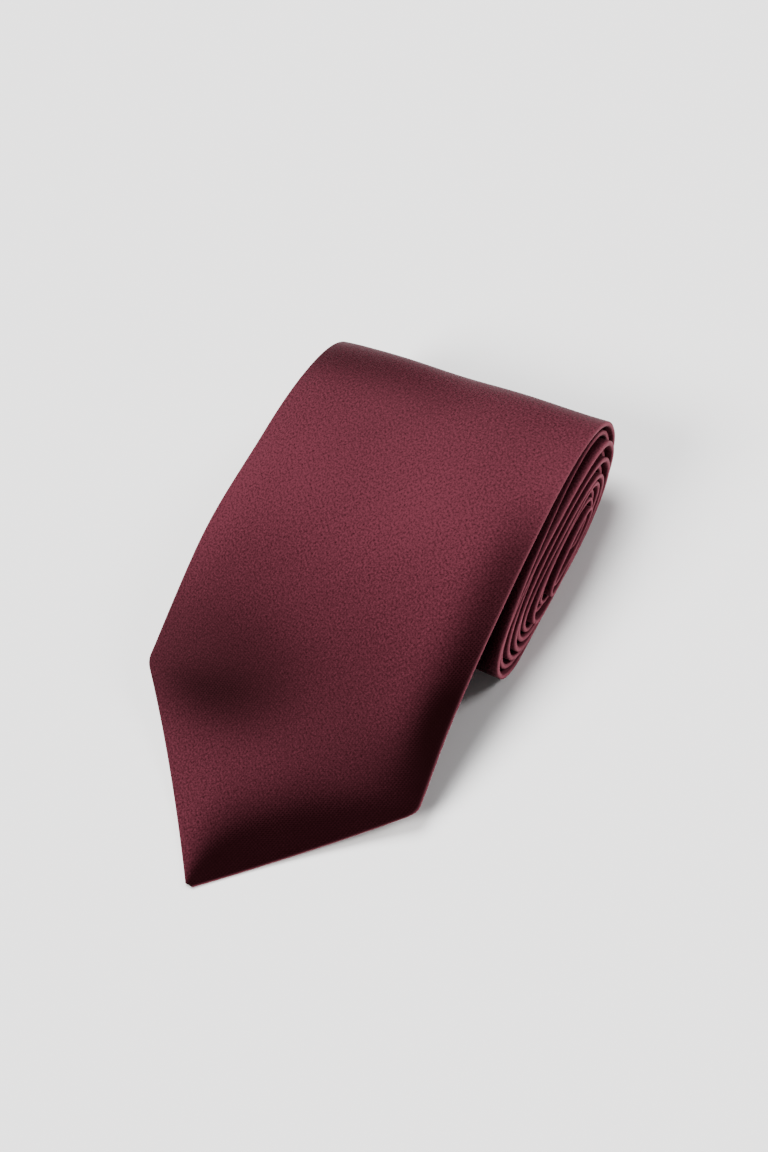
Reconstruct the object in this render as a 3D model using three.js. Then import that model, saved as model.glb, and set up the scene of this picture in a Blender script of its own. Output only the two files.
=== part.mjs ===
// A necktie rolled up from its narrow end, with its wide blade laid out in front of the roll.
// Millimetres. X runs along the roll, the blade points towards -Y, and +Z is up.
import * as THREE from "three";

// The tie laid flat.
const bladeWidth = 95;
const neckWidth = 40;
const tailWidth = 48;
const neckAt = 800; // from the blade's point to the narrowest place
const bladeSkew = 0.05; // sideways lean of the blade, per mm of length
const turnDrift = 0.003; // each inner turn stands this much further out, per mm of length

// The cloth: an outer shell folded round a wool interlining, and a lining behind each point.
const bodyThickness = 0.8;
const shellCloth = 0.18;
const woolCloth = 0.24;
const liningCloth = 0.08;
const layerGap = 0.05;
const hemWidth = 8;
const backSlit = 0.8;
const flapsMeetAt = 110; // from the blade's point
const tailFlapsMeetAt = 54; // from the tail's point
const seamGap = 0.3;
const threadWidth = 0.3;
const seamThread = 0.12;

// The roll seen along X. Lengths lie along Y from the blade's point, heights above the table.
const turns = 12.2;
const stepsPerTurn = 16;
const rollAt = { outer: 121, core: 124 };
const rollHeight = { outer: 12.6, core: 12.8 };
const halfLength = { outer: 37.3, core: 7 };
const halfHeight = { outer: 12.7, core: 0.75 };
const crestHalfHeight = 15.4; // the first quarter turn stands clear of the ones inside it
const rollTilt = 0.14; // rise of the roll's long axis towards its back
const rollFullness = 2.3; // 2 is an ellipse, more is squarer

// The blade in front of the roll: an arc that curves up from the table, then a curve to the crest.
const tipHeading = THREE.MathUtils.degToRad(-3);
const steepestHeading = THREE.MathUtils.degToRad(23);
const tipArcRadius = 127;
const bladeStep = 9;

// The blade's free end lifts about a line just in front of the roll.
const liftAt = 73;
const liftGap = 0.8;

// Small pieces on the tie's back.
const keeper = { at: 242, length: 13, width: 48, thickness: 0.3, off: 0.15 };
const careLabel = { at: 318, length: 14, width: 24, thickness: 0.15, off: 0.15 };
const barTack = { length: 1.6, width: 7, thickness: 0.4, off: 0.1 };

const half = bodyThickness / 2;
const shoulder = bladeWidth / 2;
const taper = (bladeWidth - neckWidth) / 2 / (neckAt - shoulder);
const { lerp } = THREE.MathUtils;

// Cosine or sine pushed outwards, so that an ellipse's long sides flatten.
const fuller = (c) => Math.sign(c) * Math.abs(c) ** (2 / rollFullness);

// A point of the roll after a number of turns from the crest. Each turn lies flat underneath.
function rollPoint(turn) {
  const angle = Math.PI * (0.5 - 2 * turn);
  const inwards = turn / turns;
  const between = (size) => lerp(size.outer, size.core, inwards);
  const along = between(halfLength) * fuller(Math.cos(angle));
  const rise = turn < 0.25 ? crestHalfHeight : between(halfHeight);
  const height = between(rollHeight) + rollTilt * along + rise * fuller(Math.sin(angle));
  const turnBelow = (rollHeight.core - halfHeight.core - half) / turns;
  const pressed = half + Math.floor(turn) * turnBelow;
  return new THREE.Vector2(between(rollAt) + along, Math.max(height, pressed));
}

// Middle of the tie's thickness in the YZ plane, from the blade's point to the tail's point.
function middleLine() {
  const arcLength = tipArcRadius * (steepestHeading - tipHeading);
  const arcSteps = Math.round(arcLength / bladeStep);
  const floor = half + tipArcRadius;
  const points = [];
  for (let i = 0; i <= arcSteps; i++) {
    const heading = lerp(tipHeading, steepestHeading, i / arcSteps);
    const along = tipArcRadius * (Math.sin(heading) - Math.sin(tipHeading));
    points.push(new THREE.Vector2(along, floor - tipArcRadius * Math.cos(heading)));
  }
  const start = points.at(-1);
  const crest = rollPoint(0).setY(rollHeight.outer + crestHalfHeight);
  const reach = crest.distanceTo(start) / 3;
  const crestHeading = Math.atan(rollTilt);
  const towards = (from, heading, by) =>
    new THREE.Vector2(from.x + by * Math.cos(heading), from.y + by * Math.sin(heading));
  const ease = new THREE.CubicBezierCurve(
    start,
    towards(start, steepestHeading, reach),
    towards(crest, crestHeading, -reach),
    crest,
  );
  points.push(...ease.getPoints(Math.round((3 * reach) / bladeStep)).slice(1));
  for (let i = 1; i <= turns * stepsPerTurn; i++) points.push(rollPoint(i / stepsPerTurn));
  return points;
}

// Stations along the middle line: place, distance from the blade's point, and the mitred normal
// that keeps every facet of an offset layer parallel to the facet it covers.
function stationsOf(points) {
  const headings = points.slice(1).map((p, i) => p.clone().sub(points[i]).normalize());
  let distance = 0;
  return points.map((p, i) => {
    const before = headings[Math.max(0, i - 1)];
    const after = headings[Math.min(i, headings.length - 1)];
    const normal = new THREE.Vector2(-before.y - after.y, before.x + after.x);
    const mitre = normal.multiplyScalar(2 / normal.lengthSq());
    if (i > 0) distance += p.distanceTo(points[i - 1]);
    return { at: p, normal: mitre, distance };
  });
}

const line = stationsOf(middleLine());
const tieLength = line.at(-1).distance;
const tailShoulder = tieLength - tailWidth / 2;

// The station at any distance, on the facet that it falls on.
function stationAt(distance) {
  const next = Math.max(1, line.findIndex((s) => s.distance >= distance - 1e-6));
  const [a, b] = [line[next - 1], line[next]];
  const part = (distance - a.distance) / (b.distance - a.distance);
  return { at: a.at.clone().lerp(b.at, part), normal: a.normal.clone().lerp(b.normal, part), distance };
}

// The stations from one distance to another, with the places where an outline turns a corner.
function stretch(from, to, corners = []) {
  const inside = line.filter((s) => s.distance > from + 0.2 && s.distance < to - 0.2);
  const turned = corners.filter((c) => c > from + 0.2 && c < to - 0.2).map(stationAt);
  const apart = inside.filter((s) => turned.every((t) => Math.abs(t.distance - s.distance) > 0.2));
  const between = [...apart, ...turned].sort((a, b) => a.distance - b.distance);
  return [stationAt(from), ...between, stationAt(to)];
}

// Straight lines through [distance, value] pairs.
function along(pairs, distance) {
  const next = pairs.findIndex(([d]) => d >= distance);
  if (next === 0) return pairs[0][1];
  if (next < 0) return pairs.at(-1)[1];
  const [[d0, v0], [d1, v1]] = [pairs[next - 1], pairs[next]];
  return lerp(v0, v1, (distance - d0) / (d1 - d0));
}

// The two long edges. The blade leans by its skew; in the roll the right-hand edges stay in line.
const leanEnds = 158;
const bladeEdge = (side, length) => {
  const w = side * (length < shoulder ? length : shoulder - taper * (length - shoulder));
  return [length - bladeSkew * w, w + bladeSkew * length];
};
const rightLean = bladeEdge(1, leanEnds);
const rightInRoll = (distance) => rightLean[1] + turnDrift * (distance - rightLean[0]);
const widthInRoll = (distance) => bladeWidth - 2 * taper * (distance - shoulder);
const tailMiddle = rightInRoll(tieLength) - tailWidth / 2;
const rightEdge = [
  bladeEdge(1, 0),
  bladeEdge(1, shoulder),
  rightLean,
  [tailShoulder, rightInRoll(tailShoulder)],
  [tieLength, tailMiddle],
];
const leftEdge = [
  bladeEdge(-1, 0),
  bladeEdge(-1, shoulder),
  bladeEdge(-1, leanEnds),
  [neckAt, rightInRoll(neckAt) - widthInRoll(neckAt)],
  [tailShoulder, rightInRoll(tailShoulder) - tailWidth],
  [tieLength, tailMiddle],
];
const edgesAt = (distance) => [along(leftEdge, distance), along(rightEdge, distance)];
const corners = [...leftEdge, ...rightEdge].map(([d]) => d);

// How far each back flap reaches in from its edge: a hem at the points, half the width between.
function flapAt(distance) {
  const [left, right] = edgesAt(distance);
  const most = (right - left - backSlit) / 2;
  const opening = [
    [shoulder, 0],
    [flapsMeetAt, 1],
    [tieLength - tailFlapsMeetAt, 1],
    [tailShoulder, 0],
  ];
  return Math.min(most, lerp(hemWidth, most, along(opening, distance)));
}
corners.push(flapsMeetAt, tieLength - tailFlapsMeetAt);

// Skins a row of sections into one closed solid. A section runs anticlockwise in X and offset.
function loft(stations, sectionAt) {
  const rows = stations.map((s) => sectionAt(s.distance));
  const size = rows[0].length;
  const positions = [];
  rows.forEach((row, i) => {
    const { at, normal } = stations[i];
    for (const [x, offset] of row) {
      positions.push(x, at.x + normal.x * offset, at.y + normal.y * offset);
    }
  });
  const faces = [];
  for (let i = 0; i < rows.length - 1; i++) {
    for (let j = 0; j < size; j++) {
      const a = i * size + j;
      const b = i * size + ((j + 1) % size);
      faces.push(a, a + size, b + size, a, b + size, b);
    }
  }
  const last = (rows.length - 1) * size;
  const capOf = (row) =>
    THREE.ShapeUtils.triangulateShape(row.map(([x, offset]) => new THREE.Vector2(x, offset)), []);
  for (const [a, b, c] of capOf(rows[0])) faces.push(a, b, c);
  for (const [a, b, c] of capOf(rows.at(-1))) faces.push(last + a, last + c, last + b);
  const geometry = new THREE.BufferGeometry();
  geometry.setAttribute("position", new THREE.Float32BufferAttribute(positions, 3));
  geometry.setIndex(faces);
  geometry.computeVertexNormals();
  return geometry;
}

// The shell's section: a front sheet folded at both edges into two flaps that leave a slit.
function envelope(distance) {
  const [left, right] = edgesAt(distance);
  const flap = flapAt(distance);
  const [slitLeft, slitRight] = [left + flap, right - flap];
  const inner = half - shellCloth;
  return [
    [slitLeft, -half],
    [slitLeft, -inner],
    [left + shellCloth, -inner],
    [left + shellCloth, inner],
    [right - shellCloth, inner],
    [right - shellCloth, -inner],
    [slitRight, -inner],
    [slitRight, -half],
    [right, -half],
    [right, half],
    [left, half],
    [left, -half],
  ];
}

// A flat layer's section, kept in from the edges and between two offsets.
const sheet = (inset, low, high) => (distance) => {
  const [left, right] = edgesAt(distance);
  return [
    [left + inset, low],
    [right - inset, low],
    [right - inset, high],
    [left + inset, high],
  ];
};

// A band of fixed width, centred on the slit or moved sideways from it.
const band = (width, low, high, sideways = 0) => (distance) => {
  const [left, right] = edgesAt(distance);
  const middle = (left + right) / 2 + sideways;
  return [
    [middle - width / 2, low],
    [middle + width / 2, low],
    [middle + width / 2, high],
    [middle - width / 2, high],
  ];
};

// A small piece on the tie's back.
const onBack = (piece, sideways = 0, width = piece.width) =>
  loft(
    stretch(piece.at, piece.at + piece.length),
    band(width, -half - piece.off - piece.thickness, -half - piece.off, sideways),
  );

const satin = { color: 0x571c2a, roughness: 0.42, metalness: 0 };
const wool = { color: 0xd8d2c4, roughness: 0.95, metalness: 0 };
const lining = { color: 0x4a1824, roughness: 0.6, metalness: 0 };
const thread = { color: 0x4e1724, roughness: 0.7, metalness: 0 };
const label = { color: 0x221c1e, roughness: 0.8, metalness: 0 };

const tie = new THREE.Group();
function add(name, finish, geometry) {
  const mesh = new THREE.Mesh(geometry, new THREE.MeshStandardMaterial(finish));
  mesh.name = name;
  tie.add(mesh);
}

// Outer shell: three lengths of bias-cut cloth, the front one split where the blade's end lifts.
const tipCut = 1.2;
const frontSeam = 600;
const tailSeam = 1010;
const lifted = liftAt - liftGap / 2;
const held = liftAt + liftGap / 2;
const shellPieces = {
  front_blade_end: [tipCut, lifted],
  front_panel: [held, frontSeam - seamGap / 2],
  neck_panel: [frontSeam + seamGap / 2, tailSeam - seamGap / 2],
  tail_panel: [tailSeam + seamGap / 2, tieLength - tipCut],
};
for (const [name, [from, to]] of Object.entries(shellPieces)) {
  add(name, satin, loft(stretch(from, to, corners), envelope));
}

// The thread of the two seams that join the three lengths.
const seamSection = sheet(shellCloth, half - shellCloth, half);
const seamThreads = { front_seam_thread: frontSeam, tail_seam_thread: tailSeam };
for (const [name, at] of Object.entries(seamThreads)) {
  add(name, thread, loft(stretch(at - seamThread / 2, at + seamThread / 2), seamSection));
}

// Interlining, inside the shell from point to point, and the linings behind the two points.
const inner = half - shellCloth;
const woolSection = sheet(shellCloth + seamGap, inner - layerGap - woolCloth, inner - layerGap);
const liningHigh = inner - 2 * layerGap - woolCloth;
const liningSection = sheet(shellCloth + seamGap, liningHigh - liningCloth, liningHigh);
const pointInset = 4;
const tippingEnds = 135;
const tailTippingLength = 74;
add("interlining_blade_end", wool, loft(stretch(pointInset, lifted, corners), woolSection));
add("interlining", wool, loft(stretch(held, tieLength - pointInset, corners), woolSection));
add("front_tipping_end", lining, loft(stretch(pointInset, lifted, corners), liningSection));
add("front_tipping", lining, loft(stretch(held, tippingEnds, corners), liningSection));
add(
  "tail_tipping",
  lining,
  loft(stretch(tieLength - tailTippingLength, tieLength - pointInset, corners), liningSection),
);

// Sewing: the long slip stitch that closes the back, and a bar tack at each end of it.
const stitchStarts = flapsMeetAt + 2;
const stitchEnds = tieLength - tailFlapsMeetAt - 2;
const stitchSection = band(threadWidth, -half + layerGap, -inner - layerGap / 2);
add("slip_stitch_thread", thread, loft(stretch(stitchStarts, stitchEnds, corners), stitchSection));
add("front_bar_tack", thread, onBack({ at: flapsMeetAt + 0.5, ...barTack }));
add("tail_bar_tack", thread, onBack({ at: stitchEnds, ...barTack }));

// Keeper loop across the back, with a stitched end on each side, and a blank care label.
const stitchedEnd = { ...keeper, width: 1 };
const endsAt = (keeper.width + stitchedEnd.width) / 2 + seamGap;
add("keeper_loop", satin, onBack(keeper));
add("keeper_stitches_left", thread, onBack(stitchedEnd, -endsAt));
add("keeper_stitches_right", thread, onBack(stitchedEnd, endsAt));
add("care_label", label, onBack(careLabel));

// The origin sits under the middle of the tie, on the surface it lies on.
const box = new THREE.Box3().setFromObject(tie);
const middle = box.getCenter(new THREE.Vector3());
tie.position.set(-middle.x, -middle.y, -box.min.z);

export default tie;
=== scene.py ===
import math
import bpy
import numpy as np
from mathutils import Matrix, Vector


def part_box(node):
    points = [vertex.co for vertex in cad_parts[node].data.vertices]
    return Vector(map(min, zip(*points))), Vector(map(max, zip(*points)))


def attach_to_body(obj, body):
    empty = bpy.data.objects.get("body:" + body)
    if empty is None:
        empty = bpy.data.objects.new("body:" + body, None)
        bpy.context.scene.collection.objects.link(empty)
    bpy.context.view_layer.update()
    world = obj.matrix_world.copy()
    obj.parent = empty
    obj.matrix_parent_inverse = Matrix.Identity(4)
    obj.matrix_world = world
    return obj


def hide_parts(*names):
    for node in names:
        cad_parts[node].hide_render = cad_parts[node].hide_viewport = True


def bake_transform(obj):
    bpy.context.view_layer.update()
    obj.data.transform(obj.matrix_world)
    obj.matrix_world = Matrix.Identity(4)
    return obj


# A rolled necktie. Each piece is cut flat, as a pattern, and a node tree rolls it along one line.
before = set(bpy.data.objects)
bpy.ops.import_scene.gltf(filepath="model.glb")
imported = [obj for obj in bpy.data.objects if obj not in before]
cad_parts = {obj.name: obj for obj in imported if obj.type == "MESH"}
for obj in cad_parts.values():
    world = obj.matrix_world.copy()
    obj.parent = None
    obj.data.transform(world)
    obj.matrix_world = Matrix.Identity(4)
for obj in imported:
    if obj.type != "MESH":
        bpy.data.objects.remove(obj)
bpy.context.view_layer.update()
print("frame loaded")
mm = 0.001

# the tie laid flat
tie = {
    "bladeWidth": 95 * mm,
    "neckWidth": 40 * mm,
    "tailWidth": 48 * mm,
    "neckAt": 800 * mm,          # from the blade's point
    "bladeSkew": 0.05,           # how far the blade leans to the right on its way up
    "turnDrift": 0.003,          # how far inner turns stand out at the open end
    "leanEnds": 158 * mm,
    "halfThickness": 0.4 * mm,
    "cloth": 0.18 * mm,
    "slit": 0.8 * mm,
    "hem": 8 * mm,
    "flapsMeetAt": 110 * mm,
    "tailFlapsMeet": 54 * mm,
    "frontSeam": 600 * mm,
    "tailSeam": 1010 * mm,
    "tipCut": 1.2 * mm,
    "softCorner": 1.8 * mm,      # how far the point's corners are rounded
    "foldGlow": 0.15 * mm,       # how far in from a folded edge a painted highlight lightens the cloth
}

# the line it is rolled along, seen from the open end; pairs are outer turn, core
roll = {
    "turns": 12.2,
    "centre": (121 * mm, 124 * mm),
    "height": (12.6 * mm, 12.8 * mm),
    "halfLength": (37.3 * mm, 7 * mm),
    "halfHeight": (12.7 * mm, 0.75 * mm),
    "crestHalfHeight": 15.4 * mm,
    "tilt": 0.14,
    "fullness": 2.3,
    "tipHeading": math.radians(-3),
    "steepest": math.radians(23),
    "tipArc": 127 * mm,
    "pressing": 0.6 * mm,        # softness of the flat underside
    "pointsPerTurn": 360,
    "bladePoints": 300,
    "puff": 0.95,                # how much the cloth fills out at the tight bends
    "pressed": 0.8,              # and how thin it is pressed on the flats
}


def mix(pair, share):
    return pair[0] + (pair[1] - pair[0]) * share


def fuller(c):
    return math.copysign(abs(c) ** (2 / roll["fullness"]), c)


def smooth(t):
    t = np.clip(t, 0, 1)
    return t * t * (3 - 2 * t)


def ramp(value, start, end):
    return smooth((value - start) / (end - start))


def bell(value, middle, reach):
    return np.exp(-((value - middle) / reach) ** 2)


# the line, turn by turn
def rollPoint(turn):
    angle = math.pi * (0.5 - 2 * turn)
    inwards = turn / roll["turns"]
    along = mix(roll["halfLength"], inwards) * fuller(math.cos(angle))
    rise = roll["crestHalfHeight"] if turn < 0.25 else mix(roll["halfHeight"], inwards)
    height = mix(roll["height"], inwards) + roll["tilt"] * along + rise * fuller(math.sin(angle))
    step = (roll["height"][1] - roll["halfHeight"][1] - tie["halfThickness"]) / roll["turns"]
    over = height - tie["halfThickness"] - math.floor(turn) * step
    if turn > 0.3:
        height += 0.5 * (math.hypot(over, roll["pressing"]) - over)
    return mix(roll["centre"], inwards) + along, height


def puffAt(turn):
    ends = abs(fuller(math.cos(math.pi * (0.5 - 2 * turn))))
    fills = roll["puff"] * smooth((ends - 0.5) / 0.5) * (1 - (turn / roll["turns"]) ** 3)
    return mix((1, roll["pressed"]), smooth(turn / 0.3)) + fills


def rollLine():
    points = []
    floor = tie["halfThickness"] + roll["tipArc"]
    for heading in np.linspace(roll["tipHeading"], roll["steepest"], roll["bladePoints"]):
        along = roll["tipArc"] * (math.sin(heading) - math.sin(roll["tipHeading"]))
        points.append((along, floor - roll["tipArc"] * math.cos(heading)))
    start, crest = np.array(points[-1]), np.array(rollPoint(0))
    reach = np.linalg.norm(crest - start) / 3
    crestHeading = math.atan(roll["tilt"])
    out = start + reach * np.array([math.cos(roll["steepest"]), math.sin(roll["steepest"])])
    back = crest - reach * np.array([math.cos(crestHeading), math.sin(crestHeading)])
    for t in np.linspace(0, 1, roll["bladePoints"])[1:]:
        ease = (1 - t) ** 3 * start + 3 * t * (1 - t) ** 2 * out
        points.append(tuple(ease + 3 * t * t * (1 - t) * back + t ** 3 * crest))
    steps = int(roll["turns"] * roll["pointsPerTurn"])
    puffs = [1.0] * len(points)
    for i in range(1, steps + 1):
        points.append(rollPoint(i / roll["pointsPerTurn"]))
        puffs.append(float(puffAt(i / roll["pointsPerTurn"])))
    return np.array(points), puffs


line, linePuffs = rollLine()
stepLengths = np.linalg.norm(np.diff(line, axis=0), axis=1)
lineDistance = np.concatenate([[0], np.cumsum(stepLengths)])
tieLength = float(lineDistance[-1])
headings = np.unwrap(np.arctan2(np.gradient(line[:, 1]), np.gradient(line[:, 0])))
tailShoulder = tieLength - tie["tailWidth"] / 2
print("roll line made, metres of tie:", round(tieLength, 3))

# the frame's own place for the blade's point and left shoulder
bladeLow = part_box("front_blade_end")[0]
tipY = bladeLow.y - tie["tipCut"]

# outline of the strip laid flat
shoulder = tie["bladeWidth"] / 2
taper = (tie["bladeWidth"] - tie["neckWidth"]) / 2 / (tie["neckAt"] - shoulder)


def bladeEdge(side, length):
    w = side * (length if length < shoulder else shoulder - taper * (length - shoulder))
    return length - tie["bladeSkew"] * w, w + tie["bladeSkew"] * length


rightLean = bladeEdge(1, tie["leanEnds"])


def rightInRoll(distance):
    return rightLean[1] + tie["turnDrift"] * (distance - rightLean[0])


def widthInRoll(distance):
    return tie["bladeWidth"] - 2 * taper * (distance - shoulder)


tailMiddle = rightInRoll(tieLength) - tie["tailWidth"] / 2
rightPoints = [
    bladeEdge(1, 0),
    bladeEdge(1, shoulder),
    rightLean,
    (tailShoulder, rightInRoll(tailShoulder)),
    (tieLength, tailMiddle),
]
leftPoints = [
    bladeEdge(-1, 0),
    bladeEdge(-1, shoulder),
    bladeEdge(-1, tie["leanEnds"]),
    (tie["neckAt"], rightInRoll(tie["neckAt"]) - widthInRoll(tie["neckAt"])),
    (tailShoulder, rightInRoll(tailShoulder) - tie["tailWidth"]),
    (tieLength, tailMiddle),
]
shiftX = bladeLow.x - leftPoints[1][1]


# small bows of the edges and the unevenness of hand rolling
uneven = {
    "bow": (1.4 * mm, 50 * mm, 190 * mm),      # the left edge over the crest: how far, from, to
    "tuck": (0.7 * mm, 25 * mm, 105 * mm),     # the right edge below the crest
    "turns": (0.9 * mm, 0.35 * mm),
    "periods": (260 * mm, 97 * mm),
    "turnsFrom": (150 * mm, 210 * mm),
    "turnsStop": 30 * mm,
}


def hump(distance, start, end):
    t = np.clip((distance - start) / (end - start), 0, 1)
    return np.sin(math.pi * t) ** 2


# an outline with its corners rounded off
def softOutline(distance, points):
    near = np.linspace(-1, 1, 7) * tie["softCorner"]
    return sum(np.interp(distance + d, *zip(*points)) for d in near) / len(near)


def edgesAt(distance):
    left = softOutline(distance, leftPoints)
    right = softOutline(distance, rightPoints)
    bow, tuck = uneven["bow"], uneven["tuck"]
    left = left - bow[0] * hump(distance, *bow[1:])
    right = right - tuck[0] * hump(distance, *tuck[1:])
    rolled = ramp(distance, *uneven["turnsFrom"]) * smooth((tieLength - distance) / uneven["turnsStop"])
    for size, period in zip(uneven["turns"], uneven["periods"]):
        sway = size * np.sin(2 * math.pi * (distance - uneven["turnsFrom"][0]) / period)
        left, right = left + rolled * sway, right + rolled * sway
    return left + shiftX, right + shiftX


def flapAt(distance):
    left, right = edgesAt(distance)
    most = (right - left - tie["slit"]) / 2
    meets = [shoulder, tie["flapsMeetAt"], tieLength - tie["tailFlapsMeet"], tailShoulder]
    return min(most, tie["hem"] + (most - tie["hem"]) * np.interp(distance, meets, [0, 1, 1, 0]))


# rows of a piece: close together where the line turns, further apart where it runs straight
def rowsBetween(start, end, turnStep=math.radians(5), longest=1.6 * mm):
    turned = np.interp([start, end], lineDistance, np.arange(len(line)))
    a, b = int(turned[0]) + 1, int(turned[1])
    rows = [start]
    lastHeading = headings[a]
    for i in range(a, b):
        far = lineDistance[i] - rows[-1]
        if far > 0.25 * mm and (far > longest or abs(headings[i] - lastHeading) > turnStep):
            rows.append(float(lineDistance[i]))
            lastHeading = headings[i]
    rows = [r for r in rows if r < end - 0.2 * mm] + [end]
    corners = [tie["flapsMeetAt"], tieLength - tie["tailFlapsMeet"]]
    for share in (-1, -0.5, 0, 0.5, 1):
        corners += [p[0] + share * tie["softCorner"] for p in leftPoints + rightPoints]
    corners = sorted({round(c, 6) for c in corners if start + 0.2 * mm < c < end - 0.2 * mm})
    rows = [r for r in rows if all(abs(r - c) > 0.2 * mm or r in (start, end) for c in corners)]
    return np.array(sorted(rows + corners))


# Painted light and shade on the satin, as shares of tone: lighter and darker patches where light falls
# and shade lies.
# A patch is its share, its place along the tie and how far it reaches; places across run from 0 at the
# left edge to 1 at the right.
paintedShading = {
    "rise": (0.2, 120 * mm, 24 * mm),          # painted light just before the crest
    "leftSide": (0.16, 90 * mm, 22 * mm),      # and painted light along the left edge
    "leftAcross": (0, 0.14),
    "crest": (0.33, 153 * mm, 8 * mm),         # painted shade where it turns over the roll
    "crestAcross": (0.2, 0.85),
    "hollow": (0.32, 62 * mm, 20 * mm),        # painted shade in a broad patch above the left shoulder
    "hollowAcross": (0.38, 0.4),
    "crease": (0.32, 43 * mm, 9.5 * mm),       # and a painted crease shade slanting across it
    "creaseAcross": (0.22, 0.22),
    "creaseSlant": 22 * mm,
    "fall": 0.58,                              # painted shade towards the point, sooner on its right side
    "fallStart": -33 * mm,
    "fallSlant": 75 * mm,
    "fallReach": 44 * mm,
    "rightSide": 0.55,                         # painted shade along the blade's right edge
    "rightAcross": (0.82, 0.97),
    "rightStarts": (45 * mm, 75 * mm),
    "rightEnds": (112 * mm, 138 * mm),
    "inside": 0.5,                             # painted shade between the turns, away from their edges
    "insideFrom": (232 * mm, 252 * mm),
    "insideEdge": (0.8 * mm, 3.8 * mm),
}


def patchAt(name, distance, shift=0):
    share, middle, reach = paintedShading[name]
    return share * bell(distance, middle + shift, reach)


# painted light and shade, as a share of tone at each point of the cloth
def napLean(x, distance):
    left, right = edgesAt(distance)
    across = np.clip((x - left) / np.maximum(right - left, 1 * mm), 0, 1)
    lean = patchAt("rise", distance)
    lean = lean + patchAt("leftSide", distance) * (1 - ramp(across, *paintedShading["leftAcross"]))
    lean = lean - patchAt("crest", distance) * (1 - ramp(across, *paintedShading["crestAcross"]))
    lean = lean - patchAt("hollow", distance) * bell(across, *paintedShading["hollowAcross"])
    slant = paintedShading["creaseSlant"] * across
    lean = lean - patchAt("crease", distance, slant) * bell(across, *paintedShading["creaseAcross"])
    fallsFrom = paintedShading["fallStart"] + paintedShading["fallSlant"] * across
    lean = lean - paintedShading["fall"] * (1 - smooth((distance - fallsFrom) / paintedShading["fallReach"]))
    beside = ramp(distance, *paintedShading["rightStarts"]) * (1 - ramp(distance, *paintedShading["rightEnds"]))
    lean = lean - paintedShading["rightSide"] * beside * ramp(across, *paintedShading["rightAcross"])
    inside = ramp(right - x, *paintedShading["insideEdge"]) * ramp(x - left, *paintedShading["insideEdge"])
    return lean - paintedShading["inside"] * inside * ramp(distance, *paintedShading["insideFrom"])


# A section has an outer and an inner chain of (across, offset) points, and they close into a ring.
def cutPiece(name, rows, sectionAt):
    outer, inner = zip(*[sectionAt(d) for d in rows])
    outer, inner = np.array(outer), np.array(inner)
    count = outer.shape[1]
    rings = np.concatenate([outer, inner[:, ::-1]], axis=1)
    size = 2 * count
    verts = np.zeros((len(rows), size, 3))
    verts[:, :, 0], verts[:, :, 2] = rings[:, :, 0], rings[:, :, 1]
    verts[:, :, 1] = np.array(rows)[:, None]
    i, j = np.meshgrid(np.arange(len(rows) - 1), np.arange(size), indexing="ij")
    k = (j + 1) % size
    quads = np.stack([i * size + j, i * size + k, (i + 1) * size + k, (i + 1) * size + j], -1)
    quads = quads.reshape(-1, 4)
    j = np.arange(count - 1)
    cap = np.stack([j, size - 1 - j, size - 2 - j, j + 1], -1)
    far = cap[:, ::-1] + (len(rows) - 1) * size
    faces = np.concatenate([quads, cap, far])
    mesh = bpy.data.meshes.new(name)
    mesh.from_pydata(verts.reshape(-1, 3).tolist(), [], faces.tolist())
    step = np.linalg.norm(np.diff(outer, axis=1), axis=2)
    across = np.concatenate([np.zeros((len(rows), 1)), np.cumsum(step, axis=1)], axis=1)
    across += (outer[:, count // 2, 0] - across[:, count // 2])[:, None]
    across = np.concatenate([across, across[:, ::-1]], axis=1)
    cloth = np.stack([across, verts[:, :, 1]], -1).reshape(-1, 2)
    uv = mesh.uv_layers.new(name="cloth")
    loops = np.zeros(len(mesh.loops), np.int32)
    mesh.loops.foreach_get("vertex_index", loops)
    uv.data.foreach_set("uv", cloth[loops].ravel())
    left, right = edgesAt(np.array(rows)[:, None])
    # a painted highlight along the folded edges, reaching wider on the lips at the roll's open end
    inside = np.clip(np.minimum(verts[:, :, 0] - left, right - verts[:, :, 0]), 0, 1)
    fold = mesh.attributes.new("foldEdge", "FLOAT", "POINT")
    glow = tie["foldGlow"] * (1 + 1.5 * smooth((verts[:, :, 1] - 150 * mm) / (40 * mm)))
    fold.data.foreach_set("value", np.exp(-inside / glow).astype(np.float32).ravel())
    # painted light and shade over the cloth, kept in a point attribute; the front face takes it, the back
    # face none
    lean = mesh.attributes.new("napLean", "FLOAT", "POINT")
    paintedTones = napLean(verts[:, :, 0], verts[:, :, 1]) * smooth(verts[:, :, 2] / tie["halfThickness"])
    lean.data.foreach_set("value", paintedTones.astype(np.float32).ravel())
    mesh.shade_smooth()
    piece = bpy.data.objects.new(name, mesh)
    bpy.context.scene.collection.objects.link(piece)
    return piece


def arc(centre, radius, start, end, steps):
    angles = np.linspace(start, end, steps)
    return np.stack([centre[0] + radius * np.cos(angles), centre[1] + radius * np.sin(angles)], -1)


# points straight across, closest together at the two ends
def run(a, b, h, steps):
    share = 0.5 - 0.5 * np.cos(np.linspace(0, math.pi, steps))
    return np.stack([a + (b - a) * share, np.full(steps, h)], -1)


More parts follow.
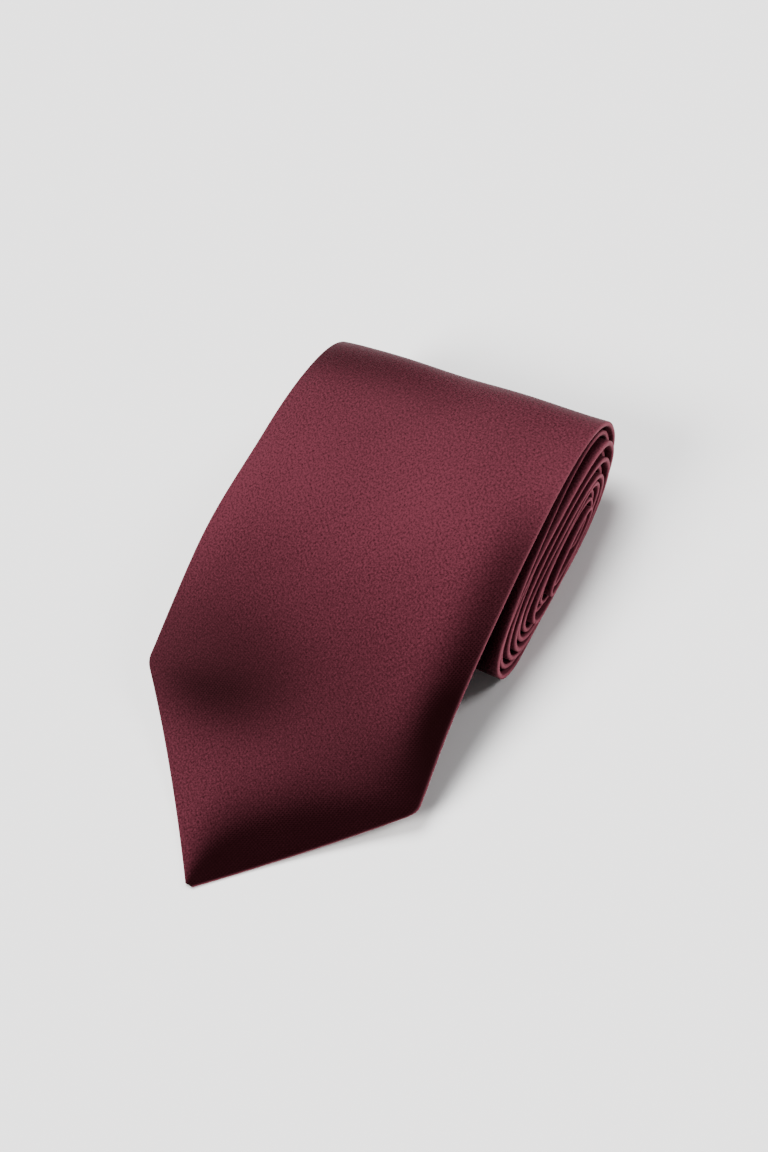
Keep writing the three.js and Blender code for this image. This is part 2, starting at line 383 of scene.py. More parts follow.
# the shell's section: a front sheet, a soft fold at each edge and two flaps that leave a slit
def shellSection(distance):
    left, right = edgesAt(distance)
    flap = flapAt(distance)
    chains = []
    for r in (tie["halfThickness"], tie["halfThickness"] - tie["cloth"]):
        away = tie["halfThickness"]
        leftFold = arc((left + away, 0), r, -math.pi / 2, -3 * math.pi / 2, 9)
        rightFold = arc((right - away, 0), r, math.pi / 2, -math.pi / 2, 9)
        a, b = max(left + flap, left + away), min(right - flap, right - away)
        chains.append(np.concatenate([
            run(a, left + away, -r, 8)[:-1],
            leftFold,
            run(left + away, right - away, r, 30)[1:-1],
            rightFold,
            run(right - away, b, -r, 8)[1:],
        ]))
    return chains


def sheetSection(inset, low, high, columns=24):
    def section(distance):
        left, right = edgesAt(distance)
        inside = min(inset, 0.45 * (right - left))
        a, b = left + inside, right - inside
        return run(a, b, high, columns), run(a, b, low, columns)
    return section


def bandSection(width, low, high, columns):
    def section(distance):
        middle = sum(edgesAt(distance)) / 2
        a, b = middle - width / 2, middle + width / 2
        return run(a, b, high, columns), run(a, b, low, columns)
    return section


def addNode(tree, kind, **settings):
    node = tree.nodes.new(kind)
    for key, value in settings.items():
        setattr(node, key, value)
    return node


def rollTree():
    tree = bpy.data.node_groups.new("rollAlongLine", "GeometryNodeTree")
    face = tree.interface
    face.new_socket("Flat Piece", in_out="INPUT", socket_type="NodeSocketGeometry")
    face.new_socket("Roll Line", in_out="INPUT", socket_type="NodeSocketObject")
    face.new_socket("Finish", in_out="INPUT", socket_type="NodeSocketMaterial")
    face.new_socket("Rolled Piece", in_out="OUTPUT", socket_type="NodeSocketGeometry")
    link = tree.links.new
    given = addNode(tree, "NodeGroupInput")
    result = addNode(tree, "NodeGroupOutput")
    lineInfo = addNode(tree, "GeometryNodeObjectInfo", transform_space="RELATIVE")
    flat = addNode(tree, "GeometryNodeInputPosition")
    parts = addNode(tree, "ShaderNodeSeparateXYZ")
    width = addNode(tree, "GeometryNodeInputRadius")
    sample = addNode(tree, "GeometryNodeSampleCurve", mode="LENGTH", data_type="FLOAT")
    sample.use_all_curves = False
    normal = addNode(tree, "ShaderNodeVectorMath", operation="CROSS_PRODUCT")
    normal.inputs[0].default_value = (1, 0, 0)
    filled = addNode(tree, "ShaderNodeMath", operation="MULTIPLY")
    offset = addNode(tree, "ShaderNodeVectorMath", operation="SCALE")
    across = addNode(tree, "ShaderNodeCombineXYZ")
    lifted = addNode(tree, "ShaderNodeVectorMath", operation="ADD")
    placed = addNode(tree, "ShaderNodeVectorMath", operation="ADD")
    move = addNode(tree, "GeometryNodeSetPosition")
    real = addNode(tree, "GeometryNodeRealizeInstances")
    finish = addNode(tree, "GeometryNodeSetMaterial")
    link(given.outputs["Roll Line"], lineInfo.inputs["Object"])
    link(flat.outputs[0], parts.inputs[0])
    link(lineInfo.outputs["Geometry"], sample.inputs["Curves"])
    link(width.outputs[0], sample.inputs["Value"])
    link(parts.outputs["Y"], sample.inputs["Length"])
    link(sample.outputs["Tangent"], normal.inputs[1])
    link(parts.outputs["Z"], filled.inputs[0])
    link(sample.outputs["Value"], filled.inputs[1])
    link(normal.outputs[0], offset.inputs[0])
    link(filled.outputs[0], offset.inputs["Scale"])
    link(parts.outputs["X"], across.inputs["X"])
    link(offset.outputs[0], lifted.inputs[0])
    link(across.outputs[0], lifted.inputs[1])
    link(lifted.outputs[0], placed.inputs[0])
    link(sample.outputs["Position"], placed.inputs[1])
    link(given.outputs["Flat Piece"], move.inputs["Geometry"])
    link(placed.outputs[0], move.inputs["Position"])
    link(move.outputs[0], real.inputs[0])
    link(real.outputs[0], finish.inputs["Geometry"])
    link(given.outputs["Finish"], finish.inputs["Material"])
    link(finish.outputs[0], result.inputs[0])
    return tree


def makeRollLine():
    curve = bpy.data.curves.new("rollLine", "CURVE")
    curve.dimensions = "3D"
    spline = curve.splines.new("POLY")
    spline.points.add(len(line) - 1)
    for point, (y, z), puff in zip(spline.points, line, linePuffs):
        point.co = (0, y + tipY, z, 1)
        point.radius = puff
    guide = bpy.data.objects.new("rollLine", curve)
    bpy.context.scene.collection.objects.link(guide)
    return guide


# how the cloth settles once it is rolled
settling = {
    "rollFrom": (80 * mm, 120 * mm),           # along the floor from the blade's point
    "crestAt": 135 * mm,
    "droop": 0.07,                             # the unsupported left end of the crest sinks by this share
    "droopReach": 12 * mm,
    "wave": 0.034,                             # gentle waves along the crest
    "waveShare": 0.5,
    "waveLevel": 0.4,
    "waveFrom": 21 * mm,
    "waveLength": 40 * mm,
    "crown": 0.9 * mm,                         # the blade bows across its width
    "crownFrom": (0, 40 * mm),
    "crownEnds": (60 * mm, 110 * mm),
    "bladeAbove": (2.5 * mm, 0.15),            # the blade is above this height, rising by this slope
}


def settle(co):
    x, y, z = co[:, 0].copy(), co[:, 1] - tipY, co[:, 2].copy()
    leftEnd = edgesAt(settling["crestAt"])[0]
    reach = np.clip((leftEnd + settling["droopReach"] - x) / settling["droopReach"], 0, 1.2)
    sink = settling["droop"] * reach ** 2
    phase = 2 * math.pi * (x - settling["waveFrom"]) / settling["waveLength"]
    wave = settling["wave"] * (settling["waveLevel"] - np.cos(phase))
    z *= 1 - ramp(y, *settling["rollFrom"]) * (sink + settling["waveShare"] * wave)
    left, right = edgesAt(np.clip(y, 0, 150 * mm))
    across = 2 * (x - (left + right) / 2) / tie["bladeWidth"]
    ahead = ramp(y, *settling["crownFrom"]) * (1 - ramp(y, *settling["crownEnds"]))
    level, slope = settling["bladeAbove"]
    onBlade = z > level + slope * y
    z -= settling["crown"] * across ** 2 * ahead * np.where(y < settling["rollFrom"][0], 1, onBlade)
    co[:, 2] = z
    return co


# the plain mesh that a node tree makes of a piece with these inputs
def grow(piece, tree, **values):
    modifier = piece.modifiers.new(tree.name, "NODES")
    modifier.node_group = tree
    for item in tree.interface.items_tree:
        key = item.name[0].lower() + item.name[1:].replace(" ", "")
        if item.in_out == "INPUT" and key in values:
            modifier[item.identifier] = values[key]
    graph = bpy.context.evaluated_depsgraph_get()
    grown = bpy.data.meshes.new_from_object(piece.evaluated_get(graph))
    piece.modifiers.remove(modifier)
    return grown


rollAlongLine = rollTree()
guide = makeRollLine()


def rollUp(piece, finish):
    mesh = grow(piece, rollAlongLine, rollLine=guide, finish=finish)
    piece.data = mesh
    mesh.name = piece.name
    co = np.zeros(len(mesh.vertices) * 3)
    mesh.vertices.foreach_get("co", co)
    mesh.vertices.foreach_set("co", settle(co.reshape(-1, 3)).ravel())
    mesh.update()
    return piece


# a maths node on sockets or numbers
def calc(tree, operation, *values):
    node = addNode(tree, "ShaderNodeMath", operation=operation)
    for socket, value in zip(node.inputs, values):
        if isinstance(value, bpy.types.NodeSocket):
            tree.links.new(value, socket)
        else:
            socket.default_value = value
    return node.outputs[0]


def groupTree(name, numbers, results):
    tree = bpy.data.node_groups.new(name, "ShaderNodeTree")
    tree.interface.new_socket("Cloth", in_out="INPUT", socket_type="NodeSocketVector")
    for title, value in numbers.items():
        socket = tree.interface.new_socket(title, in_out="INPUT", socket_type="NodeSocketFloat")
        socket.default_value = value
    for title in results:
        tree.interface.new_socket(title, in_out="OUTPUT", socket_type="NodeSocketFloat")
    return tree, addNode(tree, "NodeGroupInput"), addNode(tree, "NodeGroupOutput")


# threads that float over several others before they dip, as in satin; Float 2 is a plain weave
def wovenCloth():
    numbers = {"Pitch": 0.3 * mm, "Float": 5.0, "Turn": math.radians(45), "Step": 0.4}
    tree, given, result = groupTree("wovenCloth", numbers, ("Height", "Grain"))
    link = tree.links.new
    turned = addNode(tree, "ShaderNodeVectorRotate", rotation_type="Z_AXIS")
    link(given.outputs["Cloth"], turned.inputs["Vector"])
    link(given.outputs["Turn"], turned.inputs["Angle"])
    threads = addNode(tree, "ShaderNodeVectorMath", operation="SCALE")
    link(turned.outputs[0], threads.inputs[0])
    link(calc(tree, "DIVIDE", 1.0, given.outputs["Pitch"]), threads.inputs["Scale"])
    parts = addNode(tree, "ShaderNodeSeparateXYZ")
    link(threads.outputs[0], parts.inputs[0])
    thread = calc(tree, "FLOOR", parts.outputs["X"])
    ridge = calc(tree, "SINE", calc(tree, "MULTIPLY", calc(tree, "FRACT", parts.outputs["X"]), math.pi))
    along = calc(tree, "DIVIDE", parts.outputs["Y"], given.outputs["Float"])
    stagger = calc(tree, "MULTIPLY", thread, given.outputs["Step"])
    spot = calc(tree, "FRACT", calc(tree, "ADD", along, stagger))
    away = calc(tree, "MINIMUM", spot, calc(tree, "SUBTRACT", 1.0, spot))
    dip = calc(tree, "MINIMUM", calc(tree, "MULTIPLY", away, given.outputs["Float"]), 1.0)
    link(calc(tree, "MULTIPLY", ridge, dip), result.inputs["Height"])
    each = addNode(tree, "ShaderNodeTexWhiteNoise", noise_dimensions="1D")
    link(thread, each.inputs["W"])
    slub = addNode(tree, "ShaderNodeTexNoise")
    slub.inputs["Scale"].default_value = 0.55
    slub.inputs["Detail"].default_value = 2
    slub.inputs["Roughness"].default_value = 0.7
    link(threads.outputs[0], slub.inputs["Vector"])
    streak = calc(tree, "MULTIPLY", each.outputs["Value"], 0.03)
    link(calc(tree, "MULTIPLY_ADD", slub.outputs[0], 0.97, streak), result.inputs["Grain"])
    return tree


# broad soft patches where the nap lies another way
def napShade():
    tree, given, result = groupTree("napShade", {"Size": 40 * mm, "Amount": 1.0}, ("Shade",))
    patches = addNode(tree, "ShaderNodeTexNoise")
    patches.inputs["Detail"].default_value = 1.5
    patches.inputs["Roughness"].default_value = 0.45
    tree.links.new(given.outputs["Cloth"], patches.inputs["Vector"])
    tree.links.new(calc(tree, "DIVIDE", 1.0, given.outputs["Size"]), patches.inputs["Scale"])
    centred = calc(tree, "SUBTRACT", patches.outputs[0], 0.5)
    shade = calc(tree, "MULTIPLY_ADD", centred, given.outputs["Amount"], 0.5)
    tree.links.new(shade, result.inputs["Shade"])
    return tree


woven = wovenCloth()
nap = napShade()


# each finish's own values; pitches in metres, colours linear; lean: share of painted light and shade;
# edge: painted highlight colour
finishes = {
    "satin": {
        "dark": (0.0022, 0.0002, 0.0004), "light": (0.084, 0.0180, 0.0280), "edge": (0.30, 0.08, 0.11),
        "pitch": 0.34 * mm, "float": 5.0, "turn": math.radians(45), "step": 0.4,
        "grain": 3.4, "nap": 0.3, "napSize": 42 * mm, "edgeShare": 0.7, "bump": 0.35, "lean": 1.0,
        "rough": (0.42, 0.6), "sheen": 0.0, "sheenRough": 0.35, "sheenTint": (1.0, 0.5, 0.56, 1),
        "specular": 0.035, "specularTint": (1.0, 0.24, 0.3, 1),
    },
    "lining": {
        "dark": (0.018, 0.002, 0.004), "light": (0.075, 0.011, 0.019), "edge": (0.12, 0.02, 0.035),
        "pitch": 0.28 * mm, "float": 2.0, "turn": 0.0, "step": 0.5,
        "grain": 1.2, "nap": 0.5, "napSize": 30 * mm, "edgeShare": 0.2, "bump": 0.3, "lean": 0.0,
        "rough": (0.55, 0.7), "sheen": 0.0, "sheenRough": 0.4, "sheenTint": (1, 0.5, 0.56, 1),
        "specular": 0.05, "specularTint": (1, 0.4, 0.46, 1),
    },
    "wool": {
        "dark": (0.36, 0.32, 0.25), "light": (0.66, 0.61, 0.52), "edge": (0.7, 0.66, 0.58),
        "pitch": 0.8 * mm, "float": 2.0, "turn": math.radians(45), "step": 0.5,
        "grain": 0.8, "nap": 0.6, "napSize": 12 * mm, "edgeShare": 0.3, "bump": 0.8, "lean": 0.0,
        "rough": (0.85, 1.0), "sheen": 0.4, "sheenRough": 0.6, "sheenTint": (1, 1, 1, 1),
        "specular": 0.2, "specularTint": (1, 1, 1, 1),
    },
    "thread": {
        "dark": (0.035, 0.004, 0.009), "light": (0.13, 0.018, 0.034), "edge": (0.2, 0.04, 0.06),
        "pitch": 0.12 * mm, "float": 3.0, "turn": math.radians(30), "step": 0.33,
        "grain": 0.6, "nap": 0.4, "napSize": 4 * mm, "edgeShare": 0.0, "bump": 0.5, "lean": 0.0,
        "rough": (0.4, 0.6), "sheen": 0.2, "sheenRough": 0.4, "sheenTint": (1, 0.8, 0.85, 1),
        "specular": 0.4, "specularTint": (1, 1, 1, 1),
    },
    "ribbon": {
        "dark": (0.006, 0.004, 0.005), "light": (0.03, 0.022, 0.026), "edge": (0.1, 0.07, 0.08),
        "pitch": 0.22 * mm, "float": 4.0, "turn": 0.0, "step": 0.25,
        "grain": 0.5, "nap": 0.4, "napSize": 10 * mm, "edgeShare": 0.0, "bump": 0.4, "lean": 0.0,
        "rough": (0.4, 0.6), "sheen": 0.15, "sheenRough": 0.4, "sheenTint": (1, 1, 1, 1),
        "specular": 0.4, "specularTint": (1, 1, 1, 1),
    },
}


def mixColour(tree, share, a, b):
    node = addNode(tree, "ShaderNodeMix", data_type="RGBA")
    colours = [s for s in node.inputs if s.type == "RGBA"]
    tree.links.new(share, node.inputs["Factor"])
    for socket, value in zip(colours, (a, b)):
        if isinstance(value, bpy.types.NodeSocket):
            tree.links.new(value, socket)
        else:
            socket.default_value = (*value, 1)
    return next(s for s in node.outputs if s.type == "RGBA")


def makeCloth(name):
    look = finishes[name]
    material = bpy.data.materials.new(name)
    material.use_nodes = True
    tree = material.node_tree
    shader = tree.nodes["Principled BSDF"]
    clothMap = addNode(tree, "ShaderNodeUVMap", uv_map="cloth")
    weave = addNode(tree, "ShaderNodeGroup", node_tree=woven)
    patches = addNode(tree, "ShaderNodeGroup", node_tree=nap)
    tree.links.new(clothMap.outputs[0], weave.inputs["Cloth"])
    tree.links.new(clothMap.outputs[0], patches.inputs["Cloth"])
    for title in ("Pitch", "Float", "Turn", "Step"):
        weave.inputs[title].default_value = look[title.lower()]
    patches.inputs["Size"].default_value = look["napSize"]
    patches.inputs["Amount"].default_value = look["nap"]
    # painted light and shade from the point attribute, added to the random patches, weave and grain of
    # the tone
    lean = addNode(tree, "ShaderNodeAttribute", attribute_name="napLean")
    tone = calc(tree, "MULTIPLY_ADD", lean.outputs["Fac"], look["lean"], patches.outputs["Shade"])
    tone = calc(tree, "MAXIMUM", calc(tree, "MULTIPLY_ADD", weave.outputs["Height"], 0.18, tone), 0.0)
    fine = calc(tree, "SUBTRACT", weave.outputs["Grain"], 0.5)
    speckle = calc(tree, "MULTIPLY_ADD", fine, look["grain"], 1.0)
    tone = calc(tree, "MULTIPLY", tone, speckle)
    cloth = mixColour(tree, tone, look["dark"], look["light"])
    # a painted highlight along the folded edges, mixed towards the edge highlight colour
    fold = addNode(tree, "ShaderNodeAttribute", attribute_name="foldEdge")
    pressed = calc(tree, "MULTIPLY", fold.outputs["Fac"], look["edgeShare"])
    tree.links.new(mixColour(tree, pressed, cloth, look["edge"]), shader.inputs["Base Color"])
    roughness = addNode(tree, "ShaderNodeMapRange")
    tree.links.new(weave.outputs["Grain"], roughness.inputs["Value"])
    roughness.inputs["From Min"].default_value = 0.2
    roughness.inputs["From Max"].default_value = 0.8
    roughness.inputs["To Min"].default_value = look["rough"][0]
    roughness.inputs["To Max"].default_value = look["rough"][1]
    tree.links.new(roughness.outputs["Result"], shader.inputs["Roughness"])
    bump = addNode(tree, "ShaderNodeBump")
    bump.inputs["Strength"].default_value = look["bump"]
    bump.inputs["Distance"].default_value = 0.06 * mm
    tree.links.new(weave.outputs["Height"], bump.inputs["Height"])
    tree.links.new(bump.outputs["Normal"], shader.inputs["Normal"])
    shader.inputs["Sheen Weight"].default_value = look["sheen"]
    shader.inputs["Sheen Roughness"].default_value = look["sheenRough"]
    shader.inputs["Sheen Tint"].default_value = look["sheenTint"]
    shader.inputs["Specular IOR Level"].default_value = look["specular"]
    shader.inputs["Specular Tint"].default_value = look["specularTint"]
    return material


satin, lining, wool, threadFinish, ribbon = (
    makeCloth(name) for name in ("satin", "lining", "wool", "thread", "ribbon")
)
print("finishes made")

# Cloth that reaches past the roll bends between the roll and the blade's free end.
layers = {
    "end": 4 * mm,               # the inner layers stop short of the points
    "inset": 0.48 * mm,
    "wool": (-0.07 * mm, 0.17 * mm),
    "lining": (-0.2 * mm, -0.12 * mm),
    "tippingEnds": 135 * mm,
    "tailTipping": 74 * mm,
    "seam": 0.3 * mm,
}


def attach(piece, nodes, reaches):
    if reaches:
        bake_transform(piece)
    else:
        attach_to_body(piece, "roll")
    if nodes:
        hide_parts(*nodes)
    print("made", piece.name, len(piece.data.polygons))


frontEnds = tie["frontSeam"] - layers["seam"] / 2
neckFrom, neckEnds = tie["frontSeam"] + layers["seam"] / 2, tie["tailSeam"] - layers["seam"] / 2
tailFrom = tie["tailSeam"] + layers["seam"] / 2
shellParts = {
    "frontShell": (tie["tipCut"], frontEnds, ("front_blade_end", "front_panel")),
    "neckShell": (neckFrom, neckEnds, ("neck_panel",)),
    "tailShell": (tailFrom, tieLength - tie["tipCut"], ("tail_panel",)),
}


for name, (start, end, nodes) in shellParts.items():
    shell = rollUp(cutPiece(name, rowsBetween(start, end), shellSection), satin)
    attach(shell, nodes, start < 10 * mm)

linerParts = {
    "interliningWool": (
        layers["end"], tieLength - layers["end"], "wool", wool, "interlining",
        ("interlining_blade_end", "interlining"),
    ),
    "frontTipping": (
        layers["end"], layers["tippingEnds"], "lining", lining, "tipping",
        ("front_tipping_end", "front_tipping"),
    ),
    "tailTipping": (
        tieLength - layers["tailTipping"], tieLength - layers["end"], "lining", lining, "tipping",
        ("tail_tipping",),
    ),
}
for name, (start, end, depth, finish, slot, nodes) in linerParts.items():
    section = sheetSection(layers["inset"], *layers[depth])
    layer = rollUp(cutPiece(name, rowsBetween(start, end), section), finish)
    attach(layer, nodes, start < 10 * mm)


# arched stitches at equal steps along a row
def stitchTree():
    tree = bpy.data.node_groups.new("stitchRow", "GeometryNodeTree")
    face = tree.interface
    face.new_socket("Row", in_out="INPUT", socket_type="NodeSocketGeometry")
    for title in ("Spacing", "Length", "Arch", "Thread", "Slant"):
        face.new_socket(title, in_out="INPUT", socket_type="NodeSocketFloat")
    face.new_socket("Finish", in_out="INPUT", socket_type="NodeSocketMaterial")
    face.new_socket("Stitches", in_out="OUTPUT", socket_type="NodeSocketGeometry")
    link = tree.links.new
    given = addNode(tree, "NodeGroupInput")
    result = addNode(tree, "NodeGroupOutput")
    spaced = addNode(tree, "GeometryNodeResampleCurve", mode="LENGTH")
    dots = addNode(tree, "GeometryNodeCurveToPoints", mode="EVALUATED")
    halfLength = addNode(tree, "ShaderNodeMath", operation="MULTIPLY")
    halfLength.inputs[1].default_value = 0.5
    negative = addNode(tree, "ShaderNodeMath", operation="MULTIPLY")
    negative.inputs[1].default_value = -1
    first = addNode(tree, "ShaderNodeCombineXYZ")
    top = addNode(tree, "ShaderNodeCombineXYZ")
    last = addNode(tree, "ShaderNodeCombineXYZ")
    bow = addNode(tree, "GeometryNodeCurveQuadraticBezier")
    bow.inputs["Resolution"].default_value = 5
    ring = addNode(tree, "GeometryNodeCurvePrimitiveCircle")
    ring.inputs["Resolution"].default_value = 6
    tube = addNode(tree, "GeometryNodeCurveToMesh")
    tube.inputs["Fill Caps"].default_value = True
    slant = addNode(tree, "ShaderNodeCombineXYZ")
    rest = addNode(tree, "GeometryNodeInstanceOnPoints")
    real = addNode(tree, "GeometryNodeRealizeInstances")
    finish = addNode(tree, "GeometryNodeSetMaterial")
    link(given.outputs["Row"], spaced.inputs["Curve"])
    link(given.outputs["Spacing"], spaced.inputs["Length"])
    link(spaced.outputs["Curve"], dots.inputs["Curve"])
    link(given.outputs["Length"], halfLength.inputs[0])
    link(halfLength.outputs[0], negative.inputs[0])
    link(negative.outputs[0], first.inputs["X"])
    link(given.outputs["Arch"], top.inputs["Z"])
    link(halfLength.outputs[0], last.inputs["X"])
    link(first.outputs[0], bow.inputs["Start"])
    link(top.outputs[0], bow.inputs["Middle"])
    link(last.outputs[0], bow.inputs["End"])
    link(given.outputs["Thread"], ring.inputs["Radius"])
    link(bow.outputs["Curve"], tube.inputs["Curve"])
    link(ring.outputs["Curve"], tube.inputs["Profile Curve"])
    link(dots.outputs["Points"], rest.inputs["Points"])
    link(tube.outputs["Mesh"], rest.inputs["Instance"])
    link(given.outputs["Slant"], slant.inputs["Z"])
    link(slant.outputs[0], rest.inputs["Rotation"])
    link(rest.outputs["Instances"], real.inputs[0])
    link(real.outputs[0], finish.inputs["Geometry"])
    link(given.outputs["Finish"], finish.inputs["Material"])
    link(finish.outputs[0], result.inputs[0])
    return tree


stitchRow = stitchTree()
threadRadius = {"fine": 0.06 * mm, "plain": 0.09 * mm, "heavy": 0.16 * mm}


# a row of stitches on flat lines of (across, along, offset) points, then rolled up with the cloth
def sew(name, lines, look):
    curve = bpy.data.curves.new(name, "CURVE")
    curve.dimensions = "3D"
    for points in lines:
        spline = curve.splines.new("POLY")
        spline.points.add(len(points) - 1)
        for point, co in zip(spline.points, points):
            point.co = (*co, 1)
    row = bpy.data.objects.new(name + "Row", curve)
    bpy.context.scene.collection.objects.link(row)
    sizes = {key: look[key] for key in ("spacing", "length", "arch", "slant")}
    mesh = grow(row, stitchRow, thread=threadRadius[look["thread"]], finish=threadFinish, **sizes)
    bpy.data.objects.remove(row)
    addClothMap(mesh)
    stitches = bpy.data.objects.new(name, mesh)
    bpy.context.scene.collection.objects.link(stitches)
    return rollUp(stitches, threadFinish)


def addClothMap(mesh):
    uv = mesh.uv_layers.get("cloth") or mesh.uv_layers.new(name="cloth")
    loops = np.zeros(len(mesh.loops), np.int32)
    mesh.loops.foreach_get("vertex_index", loops)
    co = np.zeros(len(mesh.vertices) * 3)
    mesh.vertices.foreach_get("co", co)
    uv.data.foreach_set("uv", co.reshape(-1, 3)[loops, :2].ravel())
    mesh.shade_smooth()


def middleLine(start, end, offset, sideways=0.0, step=4 * mm):
    rows = np.append(np.arange(start, end, step), end)
    middle = np.array([sum(edgesAt(d)) / 2 for d in rows]) + sideways
    return [(x, d, offset) for x, d in zip(middle, rows)]


def acrossLine(distance, width, offset, sideways=0.0):
    middle = sum(edgesAt(distance)) / 2 + sideways
    return [(middle - width / 2, distance, offset), (middle + width / 2, distance, offset)]


# the hem's inner edge on one side of a point
def hemLine(start, end, side, offset):
    rows = np.linspace(start, end, 24)
    points = []
    for d in rows:
        left, right = edgesAt(d)
        flap = flapAt(d) - 0.5 * mm
        points.append((left + flap if side < 0 else right - flap, float(d), offset))
    return points


back = -tie["halfThickness"]

# the slip stitch that closes the back
slip = {
    "spacing": 3.6 * mm, "length": 1.5 * mm, "arch": -0.02 * mm, "slant": math.radians(28),
    "thread": "plain", "in": 0.11 * mm, "fromFlaps": 2 * mm,
}
slipStarts = tie["flapsMeetAt"] + slip["fromFlaps"]
slipEnds = tieLength - tie["tailFlapsMeet"] - slip["fromFlaps"]
slipStitch = sew("slipStitch", [middleLine(slipStarts, slipEnds, back + slip["in"])], slip)
attach(slipStitch, ("slip_stitch_thread",), False)

# the hems of the two points
hem = {
    "spacing": 2.4 * mm, "length": 1.1 * mm, "arch": -0.08 * mm, "slant": math.radians(60),
    "thread": "plain", "out": 0.02 * mm, "fromPoint": 14 * mm, "fromFlaps": 3 * mm,
}
tailHemFrom = tieLength - tie["tailFlapsMeet"] + hem["fromFlaps"]
hems = {
    "frontHemStitches": (hem["fromPoint"], tie["flapsMeetAt"] - hem["fromFlaps"], True),
    "tailHemStitches": (tailHemFrom, tieLength - hem["fromPoint"], False),
}
for name, (start, end, reaches) in hems.items():
    lines = [hemLine(start, end, side, back - hem["out"]) for side in (-1, 1)]
    attach(sew(name, lines, hem), (), reaches)

# a bar tack at each end of the slip stitch
tack = {
    "spacing": 0.42 * mm, "length": 2.0 * mm, "arch": -0.25 * mm, "slant": math.radians(90),
    "thread": "heavy", "width": 7 * mm, "out": 0.12 * mm,
}
tacks = {
    "frontBarTack": (tie["flapsMeetAt"] + 1.3 * mm, "front_bar_tack"),
    "tailBarTack": (slipEnds + 0.8 * mm, "tail_bar_tack"),
}
for name, (at, node) in tacks.items():
    row = acrossLine(at, tack["width"], back - tack["out"])
    attach(sew(name, [row], tack), (node,), False)

# the two seams between the lengths of the shell
seam = {
    "spacing": 1.5 * mm, "length": 1.3 * mm, "arch": 0.0, "slant": 0.0,
    "thread": "fine", "in": 0.12 * mm, "fromEdges": 2 * mm,
}
seams = {
    "frontSeamStitches": (tie["frontSeam"], "front_seam_thread"),
    "tailSeamStitches": (tie["tailSeam"], "tail_seam_thread"),
}
for name, (at, node) in seams.items():
    left, right = edgesAt(at)
    row = acrossLine(at, float(right - left) - seam["fromEdges"], tie["halfThickness"] - seam["in"])
    attach(sew(name, [row], seam), (node,), False)
print("stitches sewn")

# the keeper loop and the blank label on the back
keeper = {"at": 242 * mm, "length": 13 * mm, "width": 48 * mm, "low": -0.85 * mm, "high": -0.55 * mm}
blank = {"at": 318 * mm, "length": 14 * mm, "width": 24 * mm, "low": -0.7 * mm, "high": -0.55 * mm}
bands = {
    "keeperLoop": (keeper, satin, "keeper_loop", "satin", 24),
    "blankLabel": (blank, ribbon, "care_label", "label", 12),
}
for name, (band, finish, node, slot, columns) in bands.items():
    rows = rowsBetween(band["at"], band["at"] + band["length"], math.radians(4))
    section = bandSection(band["width"], band["low"], band["high"], columns)
    piece = rollUp(cutPiece(name, rows, section), finish)
    attach(piece, (node,), False)

# the keeper loop's sewn ends
sewn = {
    "spacing": 0.55 * mm, "length": 2.2 * mm, "arch": -0.12 * mm, "slant": 0.0,
    "thread": "heavy", "offset": -0.62 * mm, "past": 0.4 * mm, "fromEnds": 0.5 * mm,
}
sewnFrom = keeper["at"] + sewn["fromEnds"]
sewnTo = keeper["at"] + keeper["length"] - sewn["fromEnds"]
sides = {
    "keeperStitchesLeft": (-1, "keeper_stitches_left"),
    "keeperStitchesRight": (1, "keeper_stitches_right"),
}
for name, (side, node) in sides.items():
    row = middleLine(sewnFrom, sewnTo, sewn["offset"], side * (keeper["width"] / 2 + sewn["past"]))
    attach(sew(name, [row], sewn), (node,), False)
print("keeper loop and label made")

bpy.data.objects.remove(guide)

floorLook = {"size": 12.0, "colour": (0.9, 0.9, 0.9), "grain": 0.02}


def makeFloor():
    bpy.ops.mesh.primitive_plane_add(size=floorLook["size"])
    floor = bpy.context.object
    floor.name = "paleFloor"
    material = bpy.data.materials.new("palePaper")
    material.use_nodes = True
    tree = material.node_tree
    shader = tree.nodes["Principled BSDF"]
    where = addNode(tree, "ShaderNodeTexCoord")
    speckle = addNode(tree, "ShaderNodeTexNoise")
    speckle.inputs["Scale"].default_value = 3
    tree.links.new(where.outputs["Object"], speckle.inputs["Vector"])
    paler = [c * (1 - floorLook["grain"]) for c in floorLook["colour"]]
    colour = mixColour(tree, speckle.outputs[0], floorLook["colour"], paler)
    tree.links.new(colour, shader.inputs["Base Color"])
    shader.inputs["Roughness"].default_value = 0.95
    shader.inputs["Specular IOR Level"].default_value = 0.1
    floor.data.materials.append(material)


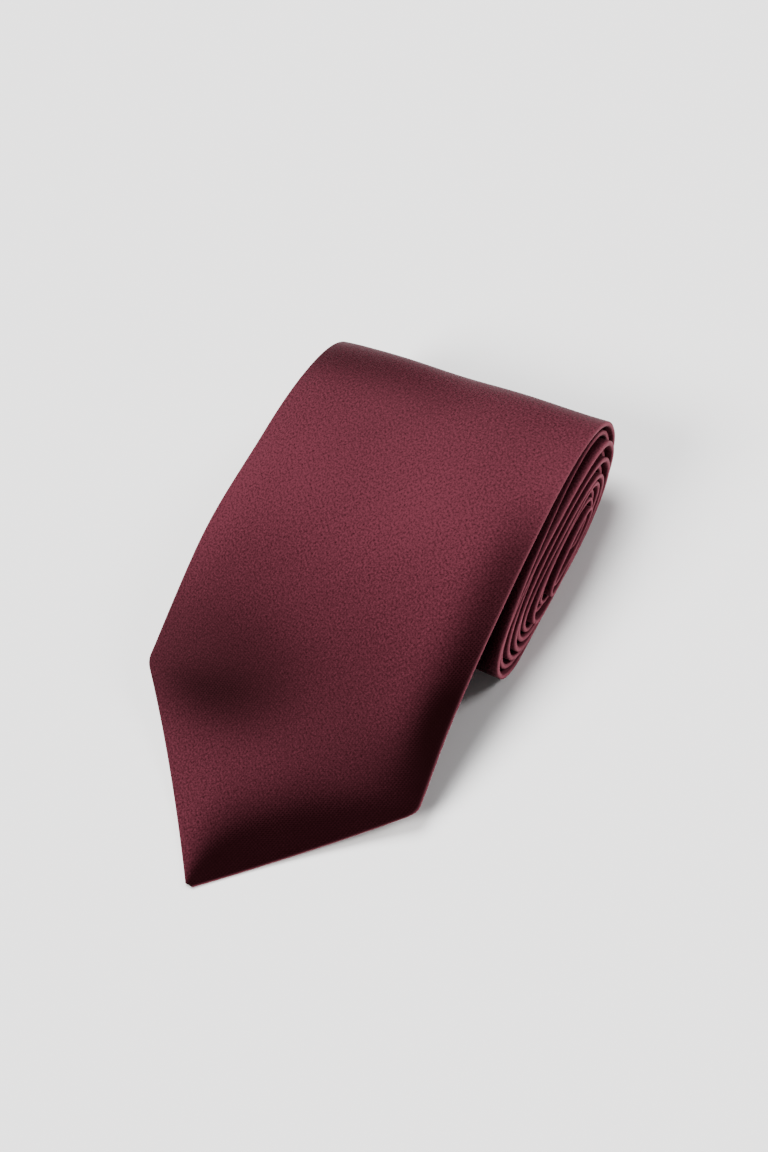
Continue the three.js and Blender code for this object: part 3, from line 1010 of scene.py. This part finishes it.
studio = {
    "sky": 0.15,                 # what lights the tie
    "backdrop": 2.4,             # what shows behind the floor
    # the side each soft light comes from, its width in degrees, its strength and its colour
    "key": ((-0.50, -0.62, 0.60), 29, 4.8, (1.0, 0.97, 0.95)),
    "top": ((-0.34, 0.46, 0.85), 34, 6.4, (1.0, 1.0, 1.0)),
    "rim": ((0.55, 0.62, 0.42), 18, 1.8, (1.0, 0.97, 0.98)),
}


def addLight(name, side, width, strength, colour):
    data = bpy.data.lights.new(name, "SUN")
    data.angle = math.radians(width)
    data.energy = strength
    data.color = colour
    lamp = bpy.data.objects.new(name, data)
    bpy.context.scene.collection.objects.link(lamp)
    lamp.location = side
    lamp.rotation_euler = (-Vector(side)).to_track_quat("-Z", "Y").to_euler()


def makeSky():
    world = bpy.data.worlds.new("studio")
    bpy.context.scene.world = world
    world.use_nodes = True
    tree = world.node_tree
    seen = addNode(tree, "ShaderNodeLightPath").outputs["Is Camera Ray"]
    sky = calc(tree, "MULTIPLY_ADD", seen, studio["backdrop"] - studio["sky"], studio["sky"])
    tree.nodes["Background"].inputs["Color"].default_value = (1, 1, 1, 1)
    tree.links.new(sky, tree.nodes["Background"].inputs["Strength"])


view = {
    "turn": math.radians(60.08),
    "height": math.radians(58.0),
    "lean": math.radians(33.83),
    "lens": 40.6,
    "from": Vector((173.5 * mm, 3.6 * mm, 313.2 * mm)),   # from the blade's point
}


def makeCamera():
    data = bpy.data.cameras.new("camera")
    data.sensor_fit = "VERTICAL"
    data.sensor_height = 36
    data.lens = view["lens"]
    data.clip_start = 0.01
    camera = bpy.data.objects.new("camera", data)
    bpy.context.scene.collection.objects.link(camera)
    back = Vector((
        math.sin(view["turn"]) * math.cos(view["height"]),
        -math.cos(view["turn"]) * math.cos(view["height"]),
        math.sin(view["height"]),
    ))
    turned = (-back).to_track_quat("-Z", "Y").to_matrix().to_4x4()
    spot = Matrix.Translation(view["from"] + Vector((shiftX, tipY, 0)))
    camera.matrix_world = spot @ turned @ Matrix.Rotation(-view["lean"], 4, "Z")
    bpy.context.scene.camera = camera


makeFloor()
makeSky()
for name in ("key", "top", "rim"):
    addLight(name, *studio[name])
makeCamera()
print("stage set")
